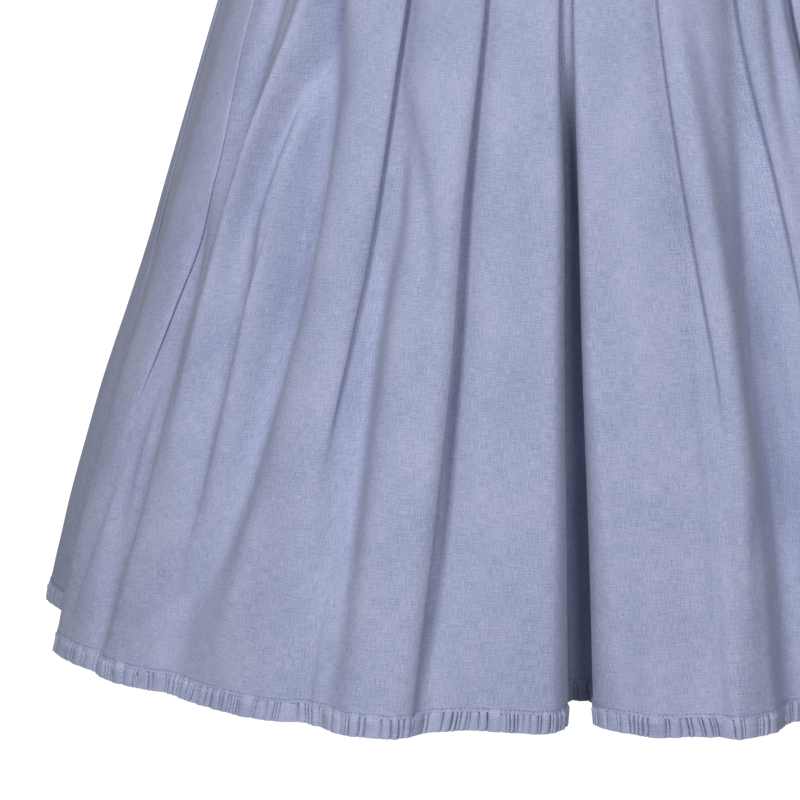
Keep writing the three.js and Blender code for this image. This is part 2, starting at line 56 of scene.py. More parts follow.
light = {
    "world": 0.12,
    "ground": 1.1,            # the white behind the dress, as the camera sees it
    "left": {"at": (-1.45, -2.9, 1.1), "to": (0.0, 0.0, -0.7), "size": 1.2, "power": 79.0},
    "right": {"at": (1.0, -3.1, 1.2), "to": (0.0, 0.0, -0.7), "size": 1.2, "power": 60.0},
    "top": {"at": (0.0, -1.8, 2.2), "to": (0.0, 0.0, -0.6), "size": 1.2, "power": 15.0},
    "back": {"at": (0.4, 3.6, 0.8), "to": (0.0, 0.0, -0.6), "size": 2.4, "power": 100.0},
}

skirt = {
    "length": 590.0,
    "depthRatio": 0.756,      # half depth of its ring over half width
    "rows": 112,
    "thick": 0.5,
    "tuck": 9.0,              # the top turns in under the bodice over this height
    "tuckIn": 5.2,
    "tuckFlat": 0.5,          # share of the folds' depth that is pressed flat there
    "tuckUp": 3.0,            # its edge reaches this far above the waist seam
    "seamTurn": 1.6,          # the side seams' edges turn in by this much
    "flatFrom": 40,           # mesh row from which the cloth's width is measured
}

# half width of the skirt's ring: mm below the waist, mm
ringTable = [
    (0, 130), (60, 152), (120, 171), (180, 188), (230, 203), (260, 213), (300, 226), (345, 240),
    (372, 248), (412, 261), (463, 278), (496, 287.5), (538, 299), (568, 306), (600, 313),
]

# heights below the waist that the pleat tables are given at
stations = [0, 115, 230, 320, 410, 500, 590]
usualLap = [18, 15, 12, 9, 6, 2, -3]
usualGap = [3.4, 3.5, 3.8, 4.4, 5.0, 5.6, 6.0]
centreFront = {"lap": [20, 17, 13, 10, 7, 5, 3], "gap": [3.4, 3.4, 4.0, 15, 21, 27, 31]}
centreBack = {"lap": [16, 14, 12, 9, 7, 5, 3], "gap": [3.4, 3.6, 4.2, 5.4, 6.4, 7.2, 8.0]}
deepFold = {"lap": [18, 15, 12, 9, 7, 5, 3], "gap": [3.4, 3.6, 4.4, 5.4, 6.2, 6.8, 7.4]}

# one entry a pleat from the centre front: edge = degrees round the ring, lap = cloth doubled back
# under the edge, gap = half the step down to the next panel; a missing list is the usual one
pleats = {
    "left": [
        {"edge": [1.6, 2.4, 2.7, 1.6, 1.25, 0.75, 0.4], **centreFront,
         "round": [1.7, 1.7, 1.7, 3, 4, 5, 7]},
        {"edge": [14.4, 14.4, 14.3, 14.6, 14.2, 14.4, 15.2], "lap": [18, 15, 12, 10, 8, 5, -2],
         "gap": [3.4, 3.2, 4.6, 7.6, 9.6, 9.8, 5.0]},
        {"edge": [27.5, 27.6, 27.6, 27.2, 27.9, 28.6, 28.6], "lap": [18, 15, 12, 8, 2, -5, -11],
         "gap": [3.4, 3.2, 4.6, 3.8, 2.8, 1.0, 0.3]},
        {"edge": [43.0, 44.0, 44.8, 46.7, 48.5, 49.5, 50.5], "lap": [18, 9, -5, -8, -9, -10, -13],
         "gap": [3.4, 2.2, 2.2, 2.2, 1.2, 0.5, 0.3]},
        {"edge": [60.0, 61.5, 62.2, 58.8, 60.9, 65.2, 70.5], "lap": [18, 15, 12, 6, 2, -4, -10],
         "gap": [3.4, 0.9, 0.6, 0.8, 1.2, 0.8, 0.3]},
        {"edge": [82, 83.5, 85, 86, 88, 90, 92], "lap": [18, 15, 11, 5, -2, -8, -12],
         "gap": [3.4, 0.8, 0.5, 0.5, 0.6, 0.5, 0.3]},
        {"edge": [100, 100.5, 101, 101, 102, 104, 107]},
        {"edge": [116, 116.5, 117, 118, 119, 118, 116], **deepFold},
        {"edge": [131, 131.5, 132, 131, 130, 131, 133]},
        {"edge": [145, 145.5, 146, 147, 149, 150, 150], "lap": [18, 15, 12, 8, 3, -4, -10]},
        {"edge": [158.5, 158.5, 159, 159, 160, 162, 163]},
        {"edge": [171.5, 171.5, 172, 172, 173, 173, 174], **centreBack},
    ],
    "right": [
        {"edge": [-0.6, -0.9, -0.5, 0.4, 1.05, 1.8, 2.3], **centreFront,
         "round": [1.7, 1.7, 1.7, 3, 4, 8, 14]},
        {"edge": [12.2, 12.2, 12.7, 14.6, 16.6, 17.6, 17.5], "lap": [18, 15, 12, 9, 0, -7, -12],
         "gap": [3.4, 3.0, 2.8, 3.2, 2.6, 0.5, 0.3]},
        {"edge": [25.4, 25.4, 26.0, 28.3, 29.5, 30.0, 30.5], "lap": [18, 15, 12, 5, -3, -9, -13],
         "gap": [3.4, 3.2, 4.2, 3.2, 1.8, 0.6, 0.3]},
        {"edge": [37.5, 36.5, 35.6, 37.6, 39.5, 41.0, 42.0], "lap": [14, 12, 10, 8, 5, 3, 1],
         "gap": [3.4, 3.5, 4.4, 5.0, 5.4, 5.6, 5.8]},
        {"edge": [51, 51.5, 52, 53, 53, 55, 57], "lap": [17, 15, 12, 8, 2, -5, -10]},
        {"edge": [67, 67.5, 68, 67, 68, 71, 74], "lap": [18, 15, 12, 9, 7, 5, 3],
         "gap": [3.4, 3.6, 4.4, 5.6, 6.4, 6.8, 7.2]},
        {"edge": [84, 84.5, 85, 85, 86, 88, 89]},
        {"edge": [100, 100, 100.5, 102, 103, 103, 103]},
        {"edge": [115.5, 116, 116, 115, 114, 115, 118], **deepFold},
        {"edge": [130, 130.5, 131, 132, 133, 133, 132], "lap": [17, 15, 12, 8, 2, -5, -10]},
        {"edge": [144, 144.5, 145, 145, 144, 145, 147]},
        {"edge": [158, 158, 158.5, 159, 160, 160, 160]},
        {"edge": [171.5, 171.5, 172, 171.5, 171, 171, 171], **centreBack},
    ],
}
seamPleat = {"left": 5, "right": 6}      # the side seams lie in the middle of these panels

fold = {
    "turn": 4.0,              # a fold's end turns with this radius at most
    "apart": 0.16,            # how far the two layers of an almost closed fold stay apart
    "underlay": 3.5,          # cloth that is hidden past the end of a lap
    "room": 0.19,             # share of the panel before that a run-out fold may use
    "panel": (0.26, 0.52, 0.78),  # the panel's own columns, as shares of its width
    "lastPanel": (0.35, 0.7),  # and of the panel at the centre back
}

# soft troughs (depth above 0) and ridges (below 0) running down a panel: side, half width in
# degrees, then three points of the line as mm down, degrees, depth
creases = [
    (-1, 1.7, 300, 26.0, 0, 430, 24.7, 8, 600, 23.4, 0),
    (-1, 2.4, 190, 42.0, 0, 370, 38.2, 14, 600, 43.0, 1),
    (-1, 1.6, 330, 58.8, 0, 480, 56.6, 9, 600, 58.0, 2),
    (-1, 1.7, 190, 43.6, 0, 300, 49.0, -9, 480, 51.6, 0),
    (-1, 1.8, 200, 41.6, 0, 330, 44.4, -8, 500, 43.4, 0),
    (-1, 2.4, 120, 53.0, 0, 270, 55.2, 7, 400, 54.6, 0),
    (-1, 3.0, 300, 77.0, 0, 460, 78.0, 3, 600, 80.0, 0),
    (-1, 3.0, 250, 124.0, 0, 420, 124.5, 6, 600, 124.0, 9),
    (-1, 3.0, 320, 140.0, 0, 470, 141.0, 6, 600, 142.0, 8),
    (1, 3.0, 200, 24.2, 0, 360, 24.2, 12, 600, 23.2, 0),
    (1, 1.5, 190, 13.8, 0, 390, 18.6, -5, 600, 17.6, 0),
    (1, 2.6, 330, 46.5, 0, 470, 47.5, 6, 600, 49.0, 4),
    (1, 3.0, 280, 61.0, 0, 430, 61.0, 6, 600, 64.0, 3),
    (1, 3.0, 300, 94.0, 0, 460, 95.0, 6, 600, 96.0, 4),
    (1, 3.0, 340, 124.0, 0, 480, 124.0, 6, 600, 125.0, 6),
    (1, 3.0, 260, 152.0, 0, 430, 152.5, 6, 600, 153.0, 5),
]

# finer creases that only the look needs: side, half width in degrees, then places down the line
# as mm down, degrees, depth
fineCreases = [
    (-1, 1.7, [(222, 43.4, 0), (250, 44.8, -3), (305, 49.2, -4), (361, 51.8, -5), (416, 52.0, -3),
               (490, 51.0, 0)]),
    (-1, 1.8, [(205, 41.6, 0), (249, 42.4, 6), (304, 46.0, 6), (360, 48.6, 3), (410, 50.0, 0)]),
    (-1, 1.4, [(245, 42.0, 0), (290, 42.2, -2), (340, 43.8, -3), (384, 43.2, -3), (440, 42.6, 0)]),
    (-1, 2.1, [(225, 38.4, 0), (264, 37.6, 5), (328, 37.5, 5), (405, 39.2, 7), (492, 39.1, 4),
               (545, 43.8, 5), (590, 44.2, 3)]),
    (-1, 1.2, [(470, 36.0, 0), (520, 36.6, -3), (590, 38.5, 0)]),
    (-1, 2.1, [(320, 26.6, 0), (430, 25.4, 6), (520, 24.2, 6), (600, 23.4, 1)]),
    (-1, 1.6, [(330, 59.6, 0), (395, 58.2, 3), (482, 60.2, 5), (571, 58.5, 3), (600, 58.0, 1)]),
    (-1, 1.4, [(265, 25.4, 0), (308, 21.4, 3.4), (344, 19.2, 3.4), (400, 19.2, 0)]),
    (-1, 1.5, [(262, 26.0, 0), (295, 24.6, 4), (324, 23.9, 6), (346, 23.7, 6), (372, 24.2, 4),
               (420, 25.2, 0)]),
    (-1, 1.2, [(230, 35.0, 0), (320, 36.0, 1.2), (420, 37.0, 0)]),
    (-1, 1.9, [(140, 45.4, 0), (190, 46.2, -4), (224, 47.0, -6), (256, 47.8, -5), (290, 49.0, -2),
               (320, 50.0, 0)]),
    (-1, 2.6, [(120, 43.2, 0), (175, 42.9, 7), (222, 42.3, 9), (254, 41.3, 8), (276, 40.4, 6),
               (300, 39.8, 4), (360, 38.8, 0)]),
    (-1, 2.0, [(340, 44.6, 0), (385, 46.2, 5), (430, 46.6, 6), (480, 46.2, 3), (520, 46.0, 0)]),
    (1, 1.5, [(205, 17.0, 0), (290, 20.0, 3.2), (400, 20.8, 0)]),
    (1, 1.7, [(300, 23.9, 0), (402, 22.8, 6), (491, 23.4, 6), (575, 22.2, 4), (600, 22.0, 3)]),
    (1, 1.9, [(160, 31.8, 0), (219, 31.7, 5), (266, 31.1, 6), (293, 31.1, 4), (340, 31.2, 0)]),
    (1, 1.7, [(350, 24.2, 0), (391, 24.4, 4), (433, 25.0, 6), (462, 24.5, 4), (520, 24.2, 0)]),
    (1, 0.8, [(470, 20.4, 0), (500, 19.4, 1.6), (530, 19.0, 0)]),
    (1, 0.7, [(540, 13.6, 0), (572, 12.6, 2.0), (600, 13.8, 0.6)]),
]

# the hem's line in plan: degrees from the centre front (left below 0), mm inside the ring; it
# fades out upward
hemSwell = {
    "from": 130.0,            # mm below the waist
    "power": 1.55,
    "line": [
        (-180, 0), (-170, -3), (-160, -7), (-151, 2), (-139, -8), (-126, 3), (-112, -9), (-106, -7),
        (-100, -5), (-97, 0), (-93, 9), (-88, 19), (-80, 22), (-75, 13), (-72, 3), (-69.5, -2.5),
        (-65, -2.5), (-60, -2), (-55, -5.5), (-51, -6.5), (-48.5, -5.5), (-45.5, -3.8), (-43, -6.3),
        (-39, -8.5), (-36.5, -11), (-33, -14.3), (-30, -15.2), (-28.2, -13), (-26.8, -10.6),
        (-25.3, -13.2), (-23.8, -17), (-22, -24), (-19.5, -25.5), (-16.8, -25.5), (-15.8, -23.5),
        (-15, -22), (-13.8, -18.5), (-13.1, -14.5), (-12.4, -9.5), (-11.6, -5), (-9.5, -1.2),
        (-6, -1.5), (-3.5, -2.5), (-2, -1), (0, 0), (3, 0), (5, 0.5), (6, -1.3), (7, -5.2), (8, -9),
        (10, -9.6), (12, -9.6), (13.5, -12), (14.5, -12.4), (15.3, -17), (16, -18.4), (17.5, -15.5),
        (18.8, -12), (20, -9), (21, -3.4), (22, 1.4), (23, 5.8), (24.5, 7), (26, 2), (28, -6),
        (31, -10), (35, -8), (39, -3), (43, 3), (46, 5), (49, 1), (52, -6), (56, -9), (60, -4),
        (64, 3), (68, 0), (73, -7), (79, -5), (85, 2), (91, -5), (97, 3), (103, -6), (110, -6),
        (118, 2), (125, 5), (131, -4), (139, -8), (147, -3), (153, 5), (160, -4), (166, -7),
        (173, -2), (180, 0),
    ],
}

# the cloth is never quite flat: slow, shallow swells, longer down the skirt than across
sway = {
    "waves": 9,
    "across": (0.10, 0.30),   # radians a degree: least, and how much more
    "along": (0.004, 0.012),  # radians a millimetre
    "deep": 1.5,
    "from": 20.0,             # they begin here and are full this much lower
    "over": 180.0,
}

# the ruffle's seam draws the skirt's edge into small upright puckers
pucker = {"from": 572.0, "over": 17.0, "power": 1.5, "deep": 0.16, "vary": 0.2}

ruffle = {
    "height": 10.0,
    "startsAbove": 2.2,       # it is caught behind the skirt's edge from here
    "gather": 4.3,            # mean distance between gathers
    "crowd": (0.3, 2.2, 2.2), # a gather's width before scaling: least, how much more, power
    "deep": 2.2,
    "vary": (0.35, 1.15),     # a gather's own share of the depth: least, how much more
    "narrow": (0.4, 5.0),     # narrow gathers are shallower: share at no width, mm a whole share
    "push": [-1.25, -0.5, 0.3, 0.65, 0.75, 0.65, 0.3, -0.5],  # one gather's section
    "side": [(0.3, 0.08), (0.7, 0.19), (1.4, 0.33)],  # its points: most mm, share
    "slant": [(1.6, 26), (1.0, 9)],  # sideways at the lower edge: mm, mm of hem a radian
    "opens": (0.6, 1.6),      # gathers open from this far above the skirt's edge, over this height
    "pressed": 0.3,           # share of the depth that they keep in the seam
    "runOut": (1.2, 0.8, 0.4),  # how they fade to the edge: start, rate, least
    "behind": 0.42,           # the seam lies this far behind the skirt's edge
    "forward": 0.75,          # share of it that the lower edge comes forward
    "thick": 0.35,
    "rows": 8,
}

stitch = {"above": 2.1, "long": 1.5, "pitch": 2.5, "radius": 0.19, "proud": 0.06}


def smoothTable(xs, ys, x):
    # Hermite curve through a table's points with averaged slopes; straight on past its end
    xs, ys, x = np.asarray(xs, float), np.asarray(ys, float), np.asarray(x, float)
    slopes = np.empty(len(xs))
    slopes[1:-1] = (ys[2:] - ys[:-2]) / (xs[2:] - xs[:-2])
    slopes[0] = (ys[1] - ys[0]) / (xs[1] - xs[0])
    slopes[-1] = (ys[-1] - ys[-2]) / (xs[-1] - xs[-2])
    i = np.clip(np.searchsorted(xs, x, side="right") - 1, 0, len(xs) - 2)
    w = xs[i + 1] - xs[i]
    u = (np.clip(x, xs[0], xs[-1]) - xs[i]) / w
    m0, m1 = slopes[i] * w, slopes[i + 1] * w
    inside = ((2 * u**3 - 3 * u**2 + 1) * ys[i] + (u**3 - 2 * u**2 + u) * m0
              + (3 * u**2 - 2 * u**3) * ys[i + 1] + (u**3 - u**2) * m1)
    return inside + np.maximum(x - xs[-1], 0) * slopes[-1]


def hashed(i, salt=0.0):
    # steady pseudo-random value from 0 to 1
    v = np.sin(np.asarray(i, float) * 12.9898 + salt * 78.233 + 4.1) * 43758.5453
    return v - np.floor(v)


def halfWidthAt(down):
    return smoothTable(*zip(*ringTable), down)


def ellipsePoint(a, b, angle, out):
    # the point at an angle from the front of an ellipse in plan, moved outward by out
    nx, ny = b * np.sin(angle * rad), -a * np.cos(angle * rad)
    n = np.hypot(nx, ny)
    return a * np.sin(angle * rad) + out * nx / n, -b * np.cos(angle * rad) + out * ny / n


def ringPoint(down, angle, depth):
    a = halfWidthAt(down)
    return ellipsePoint(a, a * skirt["depthRatio"], angle, -depth)


def ringRate(down, angle):
    a = halfWidthAt(down)
    b = a * skirt["depthRatio"]
    return np.hypot(a * np.cos(angle * rad), b * np.sin(angle * rad)) * rad


def creaseDepth(down, angle):
    turned = np.where(angle > 180, angle - 360, angle)
    total = np.zeros(np.broadcast(down, angle).shape)
    large = [(row[0], row[1], [row[2:5], row[5:8], row[8:11]]) for row in creases]
    for side, wide, places in large + fineCreases:
        rows, angles, depths = zip(*places)
        at = smoothTable(rows, angles, down)
        depth = np.where((down > rows[-1]) & (depths[-1] == 0), 0, smoothTable(rows, depths, down))
        hit = (down > rows[0]) & (side * turned >= 0)
        total += np.where(hit, depth * np.exp(-((np.abs(turned) - at) / wide) ** 2), 0)
    return total


def swellDepth(down, angle):
    turned = np.where(angle > 180, angle - 360, angle)
    rise = np.clip((down - hemSwell["from"]) / (skirt["length"] - hemSwell["from"]), 0, 1.05)
    return smoothTable(*zip(*hemSwell["line"]), turned) * rise ** hemSwell["power"]


def softSway(down, angle):
    total = np.zeros(np.broadcast(down, angle).shape)
    for k in range(sway["waves"]):
        across = sway["across"][0] + sway["across"][1] * hashed(k, 1.0)
        along = (sway["along"][0] + sway["along"][1] * hashed(k, 2.0)) * (1 if k % 2 else -1)
        wave = np.sin(angle * across + down * along + 6.3 * hashed(k, 3.0))
        total += wave * (0.5 + hashed(k, 4.0)) / sway["waves"]
    return total * sway["deep"] * np.clip((down - sway["from"]) / sway["over"], 0, 1)


def hemPuckers(down, angle):
    rise = np.clip((down - pucker["from"]) / pucker["over"], 0, 1) ** pucker["power"]
    # two waves that never fall in step, in radians a degree
    wave = np.sin(angle * 4.1 + 2.2 * np.sin(angle * 0.9)) + 0.7 * np.sin(angle * 2.3 + 1.0)
    return wave * (pucker["deep"] + pucker["vary"] * np.sin(angle * 0.37) ** 2) * rise


def pleatAt(side, k, down):
    p = pleats[side][k]
    edge, lap, gap = (smoothTable(stations, p.get(name, usual), down)
                      for name, usual in (("edge", None), ("lap", usualLap), ("gap", usualGap)))
    turn = np.minimum(gap / 2, fold["turn"])
    if "round" in p:          # the edge's own softness, where it isn't the fold's
        turn = smoothTable(stations, p["round"], down)
    return edge, lap, gap, turn


# the columns of one pleat from its hidden underlay out to the middle of its panel, and how many
# steps the mesh takes from each to the next
pleatKeys = [("under", 3), ("lapEnd", 2), ("innerTurn", 2), ("innerBack", 3), ("outerBack", 2),
             ("outerTurn", 2), ("edgeTop", 5), ("panelA", 5), ("panelB", 5), ("panelC", 4)]


def keyPlace(side, k, key, down):
    edge, lap, gap, turn = pleatAt(side, k, down)
    rate = ringRate(down, edge)
    opened = 0.5 * np.maximum(-lap, 0)       # a fold that has run out turns softly
    r, mid = np.minimum(gap / 2, fold["turn"]) + opened, lap / 2
    turn = turn + opened
    doubled = np.maximum(mid - r, 0) + 0.3 * np.minimum(mid, 0)
    backTo, outFrom = mid + doubled, mid - doubled
    apart = fold["apart"] * (1 - np.clip((backTo - outFrom) / (0.6 * gap), 0, 1))
    last = k == len(pleats[side]) - 1
    nextEdge, nextGap = 180 + 0 * edge, 0 * gap
    if not last:
        nextEdge, _, nextGap, _ = pleatAt(side, k + 1, down)
    span, step = nextEdge - edge, nextGap * 2
    if key.startswith("panel"):
        i = "ABC".index(key[-1])
        depths = (-0.5 + 0 * gap, -0.7 + 0 * gap if last else 0.03 * step, 0.24 * step)
        return edge + span * fold["lastPanel" if last else "panel"][i], depths[i]
    across, depth = {
        "under": (np.minimum(0, lap - r - fold["underlay"]), 1.86 * gap),
        "lapEnd": (lap - r, 2 * gap),
        "innerTurn": (lap, 1.5 * gap),
        "innerBack": (backTo, gap * (1 + apart)),
        "outerBack": (outFrom, gap * (1 - apart)),
        "outerTurn": (0 * lap, 0.5 * gap),
        "edgeTop": (turn, 0 * gap),
    }[key]
    if k:
        # a fold that has run out stays clear of the panel before it
        room = fold["room"] * (edge - pleatAt(side, k - 1, down)[0]) * rate
        need = fold["underlay"] + r - lap
        across = np.where((across < 0) & (need > room), across * room / np.maximum(need, 1), across)
    return edge + across / rate, depth


def halfColumns(side):
    columns = []
    lastPleat = len(pleats[side]) - 1
    for k in range(lastPleat + 1):
        for key, steps in pleatKeys:
            if (k, key) not in ((0, "under"), (lastPleat, "panelC")):
                columns.append((side, k, key, steps))
    return columns


def pieceColumns(part):
    # columns of a skirt piece in order round the body, each with the steps to the one after it
    left, right = halfColumns("left"), halfColumns("right")
    leftCut, rightCut = ([c[1:3] for c in half].index((seamPleat[side], "panelB"))
                         for side, half in (("left", left), ("right", right)))

    def turned(columns):
        # reversed, so the steps belong to the column before
        steps = [4] + [c[3] for c in columns[:-1]]
        return [(*c[:3], n) for c, n in zip(columns, steps)][::-1]

    if part == "front":
        return turned(left[:leftCut + 1]) + [("centre", 0, "front", 4)] + right[:rightCut + 1]
    return right[rightCut:] + [("centre", 0, "back", 5)] + turned(left)[:len(left) - leftCut]


def columnPlace(column, down, part):
    side, k, key, _ = column
    if side == "centre":
        if key == "back":
            return 180 + 0 * down, -0.8 + 0 * down
        l, r = keyPlace("left", 0, "lapEnd", down), keyPlace("right", 0, "lapEnd", down)
        return (r[0] - l[0]) / 2, (l[1] + r[1]) / 2 - 0.8
    angle, depth = keyPlace(side, k, key, down)
    if side == "left":
        angle = 360 - angle if part == "back" else -angle
    return angle, depth


def sectionRows(part, down):
    # angle and depth of each mesh point: a smooth curve through the columns, row by row
    columns = pieceColumns(part)
    places = [columnPlace(c, down, part) for c in columns]
    angle = np.stack([p[0] for p in places], 1)
    depth = np.stack([p[1] for p in places], 1)
    x, y = ringPoint(down[:, None], angle, depth)
    data = np.stack([angle, depth, x, y], 2)
    before, after = 2 * data[:, :1] - data[:, 1:2], 2 * data[:, -1:] - data[:, -2:-1]
    data = np.concatenate([before, data, after], 1)
    out = []
    for j in range(len(columns) - 1):
        p = [data[:, j + i] for i in range(4)]
        t = [np.zeros(len(down))]
        for i in range(3):
            t.append(t[-1] + np.maximum(np.hypot(*(p[i + 1][:, 2:] - p[i][:, 2:]).T), 1e-4) ** 0.5)
        steps = columns[j][3]
        for s in range(steps):
            u = t[1] + (t[2] - t[1]) * s / steps

            def mix(q0, q1, t0, t1):
                w = ((u - t0) / (t1 - t0))[:, None]
                return q0 * (1 - w) + q1 * w
            a1, a2, a3 = (mix(p[i], p[i + 1], t[i], t[i + 1]) for i in range(3))
            b1, b2 = mix(a1, a2, t[0], t[2]), mix(a2, a3, t[1], t[3])
            out.append(mix(b1, b2, t[1], t[2])[:, :2])
    out.append(data[:, -2, :2])
    return np.stack(out, 1)


def settleCloth(down, places):
    # angle and depth of every point to x and y, with the creases and the soft sway laid on
    angle, depth = places[..., 0], places[..., 1]
    rows = down[:, None]
    depth = depth + creaseDepth(rows, angle)
    depth = depth + swellDepth(rows, angle) + softSway(rows, angle) + hemPuckers(rows, angle)
    tuck = np.clip(1 - rows / skirt["tuck"], 0, 1) ** 2
    depth = depth * (1 - skirt["tuckFlat"] * tuck) + skirt["tuckIn"] * tuck
    return ringPoint(rows, angle, depth)


def placed(name, data):
    thing = bpy.data.objects.new(name, data)
    bpy.context.scene.collection.objects.link(thing)
    return thing


def meshOf(bm, name):
    mesh = bpy.data.meshes.new(name)
    bm.to_mesh(mesh)
    bm.free()
    return mesh


def gridPiece(name, x, y, z, uv):
    # a bmesh grid laid onto rows of points (arrays of rows by columns, in mm)
    rows, cols = x.shape
    bm = bmesh.new()
    bmesh.ops.create_grid(bm, x_segments=cols - 1, y_segments=rows - 1, size=0.5)
    bm.verts.ensure_lookup_table()
    plan = np.array([v.co[:2] for v in bm.verts]) + 0.5
    c = np.rint(plan[:, 0] * (cols - 1)).astype(int)
    r = np.rint(plan[:, 1] * (rows - 1)).astype(int)
    mesh = meshOf(bm, name)
    points = np.stack([x[r, c], y[r, c], z[r, c]], 1) * mm
    mesh.vertices.foreach_set("co", points.ravel())
    # the weave lies on the cloth by its flat sizes, in metres
    layer = mesh.uv_layers.new(name="flatCloth")
    loops = np.empty(len(mesh.loops), dtype=np.int32)
    mesh.loops.foreach_get("vertex_index", loops)
    flat = np.stack([uv[0][r, c], uv[1][r, c]], 1)[loops] * mm
    layer.data.foreach_set("uv", flat.ravel())
    mesh.update()
    return placed(name, mesh)


def faceOutward(piece):
    # turn a sheet so that its faces look away from the body's axis
    mesh = piece.data
    if sum(p.normal.dot(Vector((*p.center[:2], 0))) * p.area for p in mesh.polygons) < 0:
        bm = bmesh.new()
        bm.from_mesh(mesh)
        bmesh.ops.reverse_faces(bm, faces=bm.faces)
        bm.to_mesh(mesh)
        bm.free()


def thicken(piece, thick):
    # the sheet gets its wall, half to each side, and shades smoothly up to its raw edges
    wall = piece.modifiers.new("cloth", "SOLIDIFY")
    wall.thickness = thick * mm
    wall.offset = 0.0
    wall.use_even_offset = False
    mesh = piece.data
    mesh.polygons.foreach_set("use_smooth", [True] * len(mesh.polygons))
    shared = np.zeros(len(mesh.edges), int)
    edgeOf = np.empty(len(mesh.loops), dtype=np.int32)
    mesh.loops.foreach_get("edge_index", edgeOf)
    np.add.at(shared, edgeOf, 1)
    mesh.edges.foreach_set("use_edge_sharp", shared == 1)


def fitted(piece, thick, node):
    # a sheet of cloth becomes a piece of the frame, in the place of its solid
    faceOutward(piece)
    thicken(piece, thick)
    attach(piece, "root")
    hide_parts(node)
    return piece


def walked(x, y):
    # distance along each row of points from its first column
    steps = np.hypot(np.diff(x, axis=1), np.diff(y, axis=1))
    return np.concatenate([np.zeros((len(x), 1)), np.cumsum(steps, axis=1)], 1)


def alongRows(x, y):
    # the same from its middle column
    walk = walked(x, y)
    return walk - walk[:, walk.shape[1] // 2:walk.shape[1] // 2 + 1]


def makeSkirtPiece(part):
    down = np.linspace(0, skirt["length"], skirt["rows"])
    x, y = settleCloth(down, sectionRows(part, down))
    # at the side seams the last column turns in towards the body
    for end in (0, -1):
        n = np.hypot(x[:, end], y[:, end])
        x[:, end] -= skirt["seamTurn"] * x[:, end] / n
        y[:, end] -= skirt["seamTurn"] * y[:, end] / n
    z = waistHeight - np.repeat(down[:, None], x.shape[1], 1)
    z[0] += skirt["tuckUp"]
    across = alongRows(x, y)[skirt["flatFrom"]:].mean(axis=0)[None, :].repeat(len(down), 0)
    piece = gridPiece("skirt" + part.capitalize(), x, y, z, (across, waistHeight - z))
    print("skirt", part, "columns", x.shape[1], "rows", x.shape[0])
    return fitted(piece, skirt["thick"], "skirt_" + part)


def offsetLine(x, y, out):
    # a line in plan moved sideways by out, to the right of its way
    tx, ty = np.gradient(x), np.gradient(y)
    n = np.hypot(tx, ty) + 1e-9
    return x + ty / n * out, y - tx / n * out


def gatherPoints(part, total):
    # points along the hem: share of its length, outward push, and a steady value a gather
    count = int(round(total / ruffle["gather"]))
    least, more, power = ruffle["crowd"]
    spacing = least + more * hashed(np.arange(count), 5.0 if part == "front" else 6.0) ** power
    marks = np.concatenate([[0], np.cumsum(spacing)])
    marks = marks / marks[-1] * total
    push = np.array(ruffle["push"])
    u, wave, gatherOf = [], [], []
    for g in range(count):
        width = marks[g + 1] - marks[g]
        near = [min(most, share * width) for most, share in ruffle["side"]]
        u += list(marks[g] + np.array([0, *near, width / 2, *(width - n for n in near[::-1])]))
        own = ruffle["vary"][0] + ruffle["vary"][1] * hashed(g, 7.0)
        wave += list(push * own * min(1.0, ruffle["narrow"][0] + width / ruffle["narrow"][1]))
        gatherOf += [g] * len(push)
    print("ruffle", part, "gathers", count)
    reach = 0.75 + 0.6 * hashed(np.array(gatherOf + [count - 1]), 10.0)
    return np.array(u + [total]) / total, np.array(wave + [-1.0]), reach


def makeRuffle(part):
    top = skirt["length"] - ruffle["startsAbove"]
    bottom = skirt["length"] + ruffle["height"]
    down = np.linspace(top, bottom, ruffle["rows"])
    hx, hy = settleCloth(down, sectionRows(part, down))
    walk = walked(hx, hy)
    total = walk[:, -1].mean()
    u, wave, reach = gatherPoints(part, total)
    slant = sum(side * np.sin(u * total / length) for side, length in ruffle["slant"])
    opens, pressed, (start, rate, least) = ruffle["opens"], ruffle["pressed"], ruffle["runOut"]
    x, y = np.empty((len(down), len(u))), np.empty((len(down), len(u)))
    for r in range(len(down)):
        part01 = (down[r] - top) / (bottom - top)
        at = np.clip(u + slant * part01 / total, 0, 1) * walk[r, -1]
        # the gathers are pressed flat in the seam, open below it and run out towards the edge
        below = np.clip((down[r] - skirt["length"] + opens[0]) / opens[1], 0, 1)
        runOut = np.clip(start - rate * part01 / reach, least, 1)
        out = wave * ruffle["deep"] * runOut * (pressed + (1 - pressed) * below)
        out = out - ruffle["behind"] * (1 - ruffle["forward"] * part01)
        x[r], y[r] = offsetLine(np.interp(at, walk[r], hx[r]), np.interp(at, walk[r], hy[r]), out)
    print("ruffle", part, "along its seam and its edge, mm", walked(x, y)[[1, -1], -1].round())
    z = waistHeight - np.repeat(down[:, None], len(u), 1)
    across = (u * total)[None, :].repeat(len(down), 0)
    piece = gridPiece("ruffle" + part.capitalize(), x, y, z, (across, waistHeight - z))
    return fitted(piece, ruffle["thick"], "hem_ruffle_" + part)


